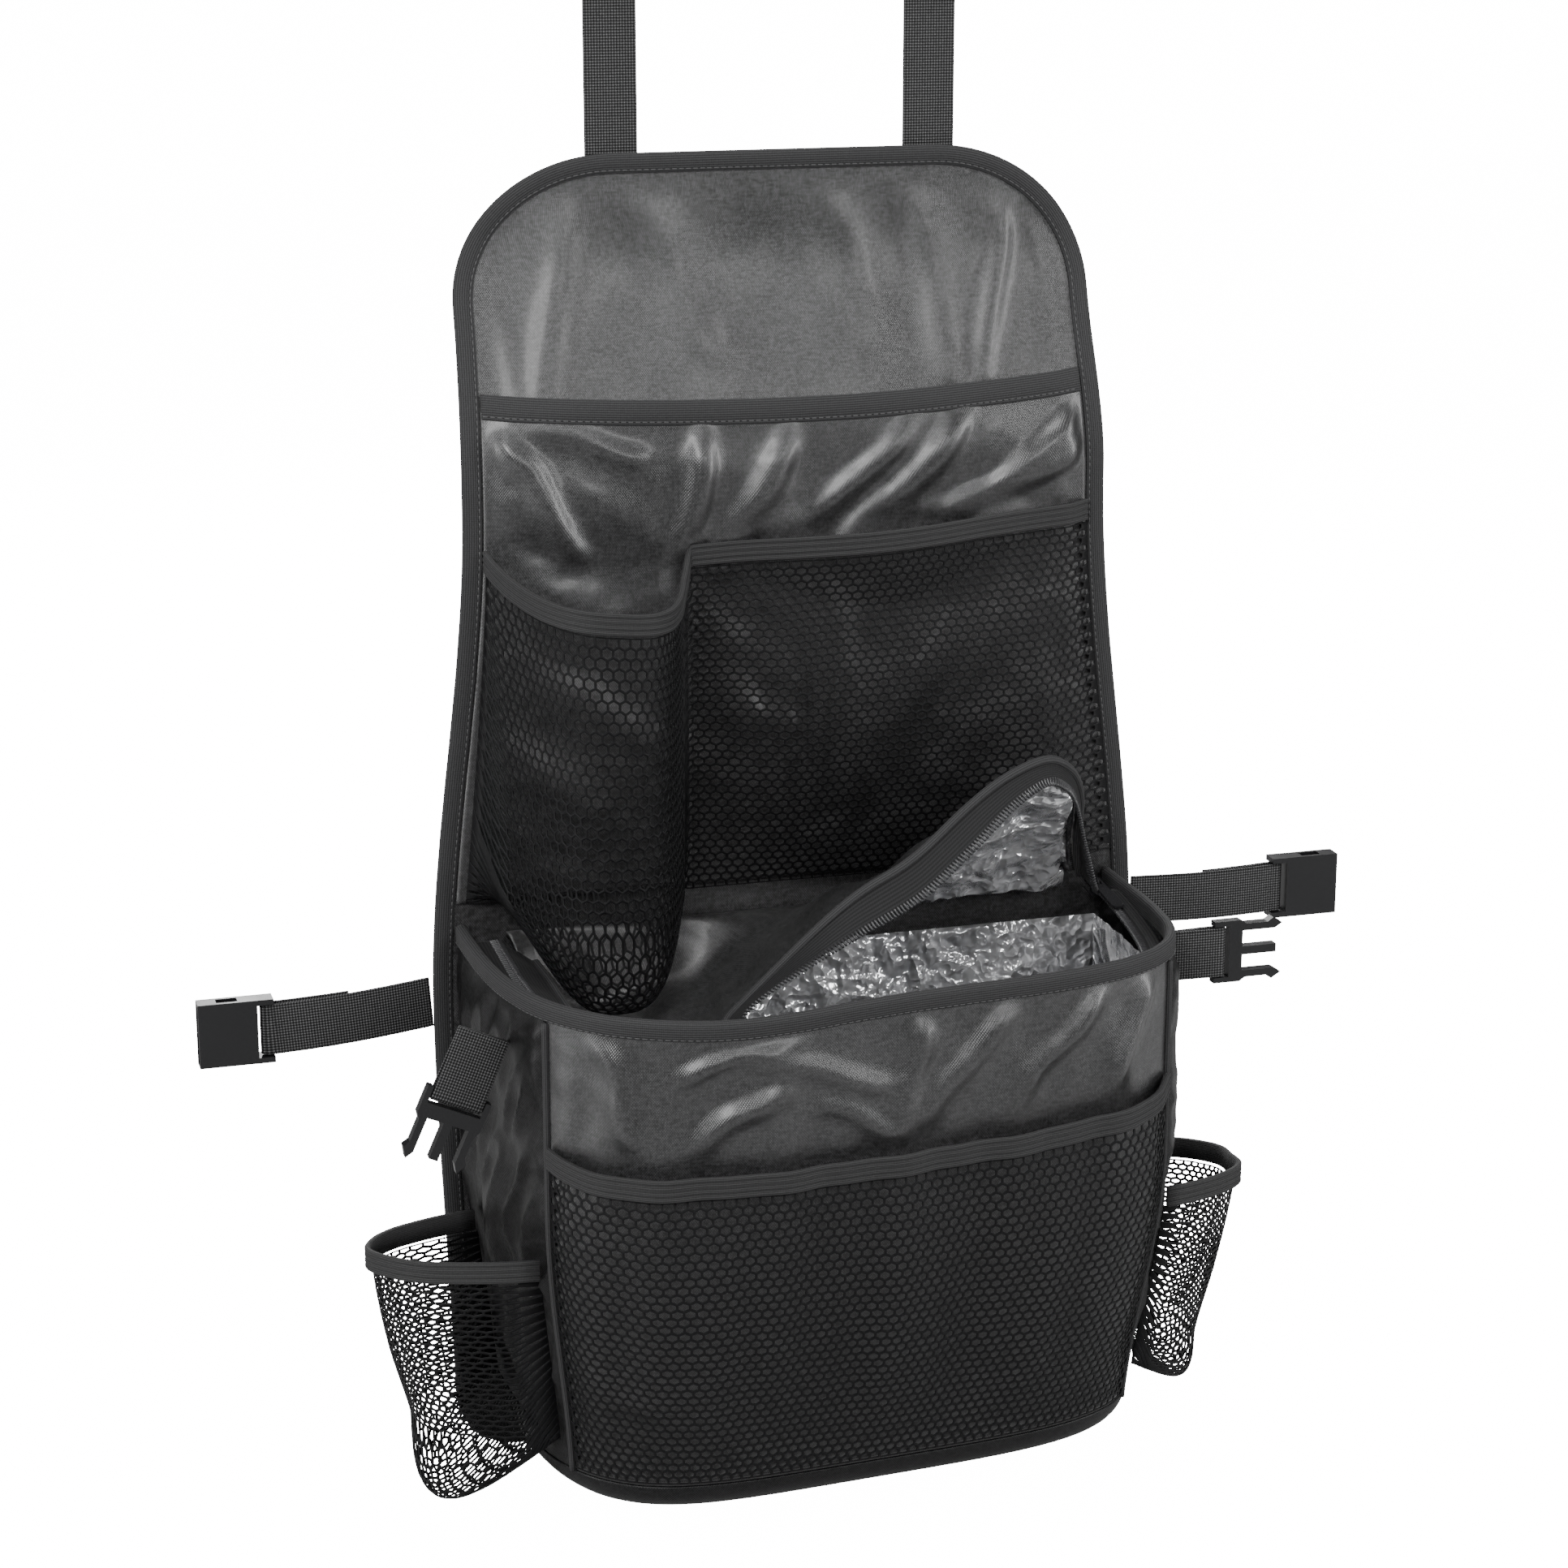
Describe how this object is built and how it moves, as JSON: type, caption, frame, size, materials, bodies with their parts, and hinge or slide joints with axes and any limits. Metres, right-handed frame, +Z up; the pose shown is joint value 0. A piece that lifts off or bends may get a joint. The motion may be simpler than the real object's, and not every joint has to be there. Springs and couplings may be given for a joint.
{
  "type": "car seat organizer",
  "caption": "Fabric organizer that hangs on a car seat's back, with a document pocket, mesh pockets, an insulated cooler with a zipped lid, and straps with buckles.",
  "frame": {"origin": "on the back face of the back panel, centred, at the level of the cooler's floor", "axes": "+Z up along the panel, +Y from the pockets through the panel towards the seat's back, +X to the right for someone looking at the pockets"},
  "size_m": [0.584, 0.232, 0.7899],
  "materials": {
    "charcoal_nylon": "matt woven nylon, charcoal black",
    "soft_nylon": "soft padded nylon, charcoal black, gathered",
    "binding_tape": "finely ribbed black binding tape",
    "mesh_cloth": "black hexagonal nylon mesh",
    "elastic": "black ribbed elastic band",
    "webbing": "black woven webbing",
    "buckle_plastic": "moulded black plastic, slightly glossy edges",
    "zip_tape": "black woven zip tape",
    "zip_coil": "black nylon coil",
    "foil_lining": "silver aluminised film, finely creased",
    "painted_metal": "glossy black enamel"
  },
  "bodies": {
    "organizer": {"back_panel": "charcoal_nylon", "back_panel_binding": "binding_tape", "buckle_female_left": "buckle_plastic", "buckle_female_right": "buckle_plastic", "buckle_male_left": "buckle_plastic", "buckle_male_right": "buckle_plastic", "cooler_bottom": "soft_nylon", "cooler_front": "charcoal_nylon", "cooler_liner": "foil_lining", "cooler_rim_binding": "binding_tape", "cooler_side_left": "soft_nylon", "cooler_side_right": "soft_nylon", "document_pocket": "charcoal_nylon", "document_pocket_hem": "binding_tape", "front_mesh_pocket": "mesh_cloth", "front_pocket_elastic": "elastic", "headrest_slide_left": "buckle_plastic", "headrest_slide_right": "buckle_plastic", "headrest_strap_left": "webbing", "headrest_strap_right": "webbing", "lid": "charcoal_nylon", "lid_binding": "binding_tape", "lid_liner": "foil_lining", "pouch_mesh": "mesh_cloth", "side_mesh_pocket_left": "mesh_cloth", "side_mesh_pocket_right": "mesh_cloth", "side_pocket_elastic_left": "elastic", "side_pocket_elastic_right": "elastic", "side_tab_left": "webbing", "side_tab_right": "webbing", "upper_mesh_pocket": "mesh_cloth", "upper_pocket_elastic": "elastic", "waist_strap_left": "webbing", "waist_strap_right": "webbing", "zip_coil_lid": "zip_coil", "zip_coil_rim": "zip_coil", "zip_slider": "painted_metal", "zip_tape_lid": "zip_tape", "zip_tape_rim": "zip_tape"},
    "zip_pull": {"zip_pull": "painted_metal"}
  },
  "joints": [
    {"name": "zip_pull_swing", "type": "hinge", "parent": "organizer", "child": "zip_pull", "pos_m": [0.15279, -0.02124, 0.25321], "axis": [-1, 0, 0], "range_deg": [0, 30]}
  ]
}
